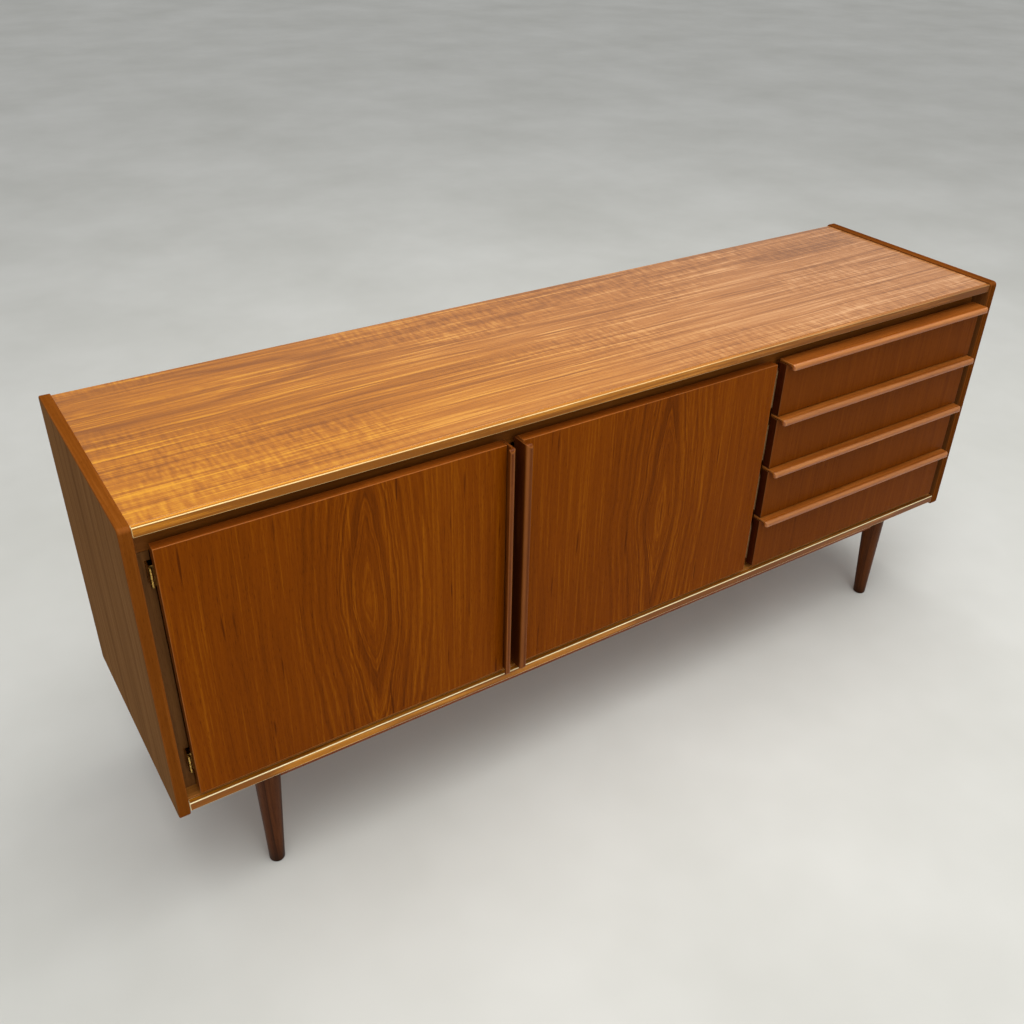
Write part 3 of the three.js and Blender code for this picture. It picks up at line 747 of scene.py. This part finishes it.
# Boards: the axis across the thickness, the axis that the grain follows, the radius that softens
# the edges and the radius of the outline's corners.
boards = {
    "side_left": dict(thin="x", along="z", soft=0.0022, corner=0.008, slot="side_teak",
                      finish="sideTeak", rim="sideEdge"),
    "side_right": dict(thin="x", along="z", soft=0.0022, corner=0.008, slot="side_teak",
                       finish="warmSideTeak", rim="sideEdge"),
    "top_panel": dict(thin="z", along="x", soft=0.0006, slot="top_teak", finish="topTeak"),
    "top_front_lipping": dict(thin="y", along="x", soft=0.0016, slot="solid_teak",
                              finish="topLippingTeak"),
    "bottom_panel": dict(thin="z", along="x", soft=0.0006, slot="inner_teak", finish="innerFloor"),
    "bottom_front_lipping": dict(thin="y", along="x", soft=0.0018, slot="solid_teak",
                                 finish="lippingTeak"),
    "back_panel": dict(thin="y", along="x", soft=0.0004, slot="back_veneer", finish="backVeneer"),
    "head_rail": dict(thin="y", along="x", soft=0.0008, slot="inner_teak", finish="headRailTeak"),
    "shelf_left": dict(thin="z", along="x", soft=0.001, slot="inner_teak", finish="innerTeak"),
    "shelf_right": dict(thin="z", along="x", soft=0.001, slot="inner_teak", finish="innerTeak"),
    "door_left_panel": dict(thin="y", along="z", soft=0.0009, slot="front_teak",
                            finish="frontTeak", rim="frontEdge"),
    "door_right_panel": dict(thin="y", along="z", soft=0.0009, slot="front_teak",
                             finish="frontTeak", rim="frontEdge"),
    "door_left_stop_block": dict(thin="x", along="z", soft=0.001, slot="inner_teak",
                                 finish="headRailTeak"),
    "door_right_stop_block": dict(thin="x", along="z", soft=0.001, slot="inner_teak",
                                  finish="headRailTeak"),
}


def addBoards():
    for node, board in boards.items():
        low, high = cornersOf(node)
        shell = boardShell(low, high, axisOf[board["thin"]], board["soft"],
                           board.get("corner", 0))
        addPiece(node, [shell], board["finish"], board.get("rim"),
                 along=board["along"], through=board["thin"])


addBoards()
print("boards made:", len(boards))

drawers = {"count": 4, "frontSoft": 0.0009, "bottomSoft": 0.0004, "runnerSoft": 0.0012,
           "frontSeed": 40}


# The veneer runs on from one drawer front to the next, so all four share one middle and one seed.
def addDrawers():
    lowest, highest = cornersOf("drawer_4_front")[0], cornersOf("drawer_1_front")[1]
    middle = (lowest + highest) / 2
    for number in range(1, drawers["count"] + 1):
        low, high = cornersOf(f"drawer_{number}_front")
        shell = boardShell(low, high, axisOf["y"], drawers["frontSoft"], 0)
        addPiece(f"drawer_{number}_front", [shell], "drawerTeak", "drawerEdge",
                 along="z", through="y", middle=middle, seed=drawers["frontSeed"])
        low, high = cornersOf(f"drawer_{number}_bottom")
        shell = boardShell(low, high, axisOf["z"], drawers["bottomSoft"], 0)
        addPiece(f"drawer_{number}_bottom", [shell], "drawerWood",
                 along="x", through="z")
        for side in ("left", "right"):
            low, high = cornersOf(f"runner_{number}_{side}")
            shell = boardShell(low, high, axisOf["x"], drawers["runnerSoft"], 0)
            addPiece(f"runner_{number}_{side}", [shell], "runnerWood",
                     along="y", through="x")


addDrawers()
print("drawer fronts, bottoms and runners made")

handle = {
    "plate": 0.0055, "reach": 0.0205, "depth": 0.019, "noseRadius": 0.007, "noseDrop": 0.0115,
    "noseThickness": 0.007, "tipRadius": 0.002, "innerTipRadius": 0.0018, "backRadius": 0.0007,
    "planRadius": 0.006, "endSoft": 0.0012, "leastRest": 0.08,
}


# The section is drawn with a towards the front from the face of the door or drawer, and b out of
# the edge that the strip covers: a thin plate, a round nose, a rounded tip, a scoop under the nose.
def handleArcs():
    plate, reach, back = handle["plate"], handle["reach"], handle["backRadius"]
    nose, tip, inner = handle["noseRadius"], handle["tipRadius"], handle["innerTipRadius"]
    drop, inside = handle["noseDrop"], handle["reach"] - handle["noseThickness"]
    scoop = drop - plate
    rear = -handle["depth"]
    return [
        (rear + back, -back, back, 180, 90, 1),
        (reach - nose, -nose, nose, 90, 0, 1),
        (reach - tip, tip - drop, tip, 0, -90, 1),
        (inside + inner, inner - drop, inner, -90, -180, 1),
        (inside - scoop, inner - drop, scoop, 0, 90, -1),
        (rear + back, back - plate, back, -90, -180, 1),
    ]


# The two foremost corners are rounded in plan: an end is shortened by r - sqrt(r^2 - d^2), where d
# is how far a point lies in front of the centre of the plan's arc.
def planTrim(a):
    radius = handle["planRadius"]
    ahead = np.clip(a - (handle["reach"] - radius), 0, radius)
    rest = np.sqrt(np.maximum(radius ** 2 - ahead ** 2, 0))
    return radius - rest, ahead / np.maximum(rest, radius * handle["leastRest"])


# front is the object axis and sign that a follows, edge the same for b, and the strip runs along
# the axis that is left.
def addHandle(node, front, edge, along):
    low, high = cornersOf(node)
    length = axisOf[along]
    arcs = handleArcs()
    points, normals, wearAndHighlight = carriedOutline(arcs, (high - low)[length] / 2, handle["endSoft"],
                                           planTrim)
    frontAxis, frontSign = front
    edgeAxis, edgeSign = edge
    order = [axisOf[frontAxis], axisOf[edgeAxis], length]
    signs = (frontSign, edgeSign, 1)
    origin = (low + high) / 2
    face = low if frontSign < 0 else high
    origin[order[0]] = face[order[0]] - frontSign * handle["reach"]
    origin[order[1]] = (high if edgeSign > 0 else low)[order[1]]
    placed = laidOut(points, order, signs) + origin
    facing = laidOut(normals, order, signs)
    if not facesOut(order, signs):
        placed, facing, wearAndHighlight = placed[:, ::-1], facing[:, ::-1], wearAndHighlight[:, ::-1]
    # The door strips take the darker copy of the solid teak, a painted shade.
    finish = "doorStripTeak" if along == "z" else "solidTeak"
    addPiece(node, [shellOf(placed, facing, wearAndHighlight)], finish,
             along=along, through=edgeAxis)


# The outline runs clockwise in its own plane, so its walls face out where the three axes make a
# left-handed set.
def facesOut(order, signs):
    matrix = np.zeros((3, 3))
    matrix[order, range(3)] = signs
    return np.linalg.det(matrix) < 0


def addHandles():
    addHandle("door_left_handle", ("y", -1), ("x", 1), "z")
    addHandle("door_right_handle", ("y", -1), ("x", -1), "z")
    for number in range(1, drawers["count"] + 1):
        addHandle(f"drawer_{number}_handle", ("y", -1), ("z", 1), "x")


addHandles()
print("handle strips made")

leg = {"foot": 0.0137, "rounding": 0.003, "leanX": 0.005, "leanY": 0.004, "sides": 48,
       "rings": 10, "footShade": 0.035}


# A leg's radius turns on a quarter circle at the foot and then grows evenly to the top, while its
# centre line leans outwards towards the foot.
def addLegs():
    quarter = np.radians(np.linspace(0, 90, cornerSteps + 1))
    share = np.linspace(0, 1, leg["rings"] + 1)[1:]
    for fore, sideY in (("front", -1), ("back", 1)):
        for hand, sideX in (("left", -1), ("right", 1)):
            node = f"leg_{fore}_{hand}"
            low, high = cornersOf(node)
            top = (high - low)[0] / 2
            height = high[2]
            foot = leg["foot"] - leg["rounding"] * (1 - np.sin(quarter))
            radius = np.concatenate([foot, leg["foot"] + (top - leg["foot"]) * share])
            start = leg["rounding"] * (1 - np.cos(quarter))
            distance = np.concatenate(
                [start, leg["rounding"] + (height - leg["rounding"]) * share])
            left = 1 - distance / height
            lean = np.stack([sideX * leg["leanX"] * left, sideY * leg["leanY"] * left], axis=-1)
            centre = (*((low + high) / 2)[:2], 0)
            shell = turnedShell(radius, distance, leg["sides"], centre=centre, lean=lean)
            shell["edge"] = np.clip(1 - shell["points"][:, 2] / leg["footShade"], 0, 1)
            addPiece(node, [shell], "legWood", along="z", through="y")


addLegs()
print("legs made")

hinge = {
    "knuckle": 0.00325, "pin": 0.0015, "casePlate": 0.002, "doorPlate": 0.0016, "gap": 0.0003,
    "soft": 0.0003, "corner": 0.001, "chamfer": 0.0004, "pinHead": 0.0006, "sides": 32,
    "screwRadius": 0.0026, "screwHeight": 0.0005, "screwRise": 0.0095, "screwInset": 0.009,
    "screwSides": 20,
}


# A short upright cylinder with a chamfer at each end, and an inner ring to close each end on.
def knuckleShell(x, y, bottom, top, radius, chamfer):
    inset = np.array([1, 1, 0, 0, 1, 1]) * chamfer
    inset[0] = inset[-1] = radius * 0.5
    distance = np.array([bottom, bottom, bottom + chamfer, top - chamfer, top, top])
    return turnedShell(radius - inset, distance, hinge["sides"], centre=(x, y, 0))


# A screw head is a low dome: height * (1 - share^2) over a share of its radius. It stands on a
# face that looks along an axis, to its high or low side.
def screwShell(centre, axis, side):
    share = np.array([1.0, 1.0, 0.85, 0.6, 0.3, 0.02])
    height = hinge["screwHeight"] * np.array([-0.6, 0.0, 0.4, 0.75, 0.95, 1.0])
    shell = turnedShell(hinge["screwRadius"] * share, height, hinge["screwSides"], axis=axis)
    flip = np.ones(3)
    flip[axis] = side
    shell["points"] = shell["points"] * flip + np.array(centre)
    shell["normals"] = shell["normals"] * flip
    if side < 0:
        shell["faces"] = shell["faces"][:, ::-1]
    return shell


# A board between two values on each axis, which may come in either order.
def spanBoard(x, y, z, thin, corner):
    low, high = np.sort(np.array([x, y, z]), axis=1).T
    return boardShell(low, high, thin, hinge["soft"], corner)


# The case leaf stands beside the door and holds the two outer knuckles and the ends of the pin.
# The door leaf lies on the back of the door and holds the middle knuckle.
def addHinge(door, level, side):
    node = f"{door}_hinge_{level}"
    low, high = cornersOf(f"{node}_case_leaf")
    knuckle, gap, corner = hinge["knuckle"], hinge["gap"], hinge["corner"]
    pinX, pinY = (low + high)[0] / 2, low[1] + knuckle
    bottom, top = low[2], high[2]
    third, middle = (top - bottom) / 3, (bottom + top) / 2
    plateX = (pinX, pinX + side * hinge["casePlate"])
    plateY = pinY + knuckle + gap
    shells = [spanBoard(plateX, (plateY, high[1]), (bottom, top), 0, corner)]
    for start, end in ((bottom, bottom + third - gap), (top - third + gap, top)):
        shells.append(spanBoard(plateX, (pinY, plateY + corner), (start, end), 0, gap))
        under = start + hinge["pinHead"] if start == bottom else start
        over = end if start == bottom else end - hinge["pinHead"]
        shells.append(knuckleShell(pinX, pinY, under, over, knuckle, hinge["chamfer"]))
        shells.append(knuckleShell(pinX, pinY, start, end, hinge["pin"], gap))
    for lift in (-hinge["screwRise"], hinge["screwRise"]):
        centre = (pinX, high[1] - hinge["screwInset"], middle + lift)
        shells.append(screwShell(centre, 0, -side))
    addPiece(f"{node}_case_leaf", shells, "hingeBrass")

    low, high = cornersOf(f"{node}_door_leaf")
    farX = high[0] if side < 0 else low[0]
    plateY = (high[1] - hinge["doorPlate"], high[1])
    inner = (bottom + third, top - third)
    webX = (pinX - side * gap, pinX - side * knuckle)
    shells = [
        spanBoard((pinX - side * gap, farX), plateY, (bottom, top), 1, corner),
        spanBoard(webX, (pinY, plateY[1] - gap), inner, 0, gap),
        knuckleShell(pinX, pinY, *inner, knuckle, hinge["chamfer"]),
    ]
    for lift in (-hinge["screwRise"], hinge["screwRise"]):
        centre = (farX + side * hinge["screwInset"], high[1], middle + lift)
        shells.append(screwShell(centre, 1, 1))
    addPiece(f"{node}_door_leaf", shells, "hingeBrass")


for door, side in (("door_left", -1), ("door_right", 1)):
    for level in ("lower", "upper"):
        addHinge(door, level, side)
print("hinges made")

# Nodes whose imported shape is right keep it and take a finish.
kept = {
    "uprightTeak": ["liner_left"],
    "shadedTeak": ["liner_right", "partition_left", "partition_right"],
    "drawerBoxWood": [f"drawer_{number}_box" for number in range(1, drawers["count"] + 1)],
    "longRailWood": ["rail_front", "rail_back"],
    "shortRailWood": ["rail_left", "rail_right"],
}
for finish, nodes in kept.items():
    for node in nodes:
        for slot in frame["nodes"][node].material_slots:
            slot.material = finishes[finish]
print("pieces made:", len(madePieces), "and packed nodes finished:", sum(map(len, kept.values())))
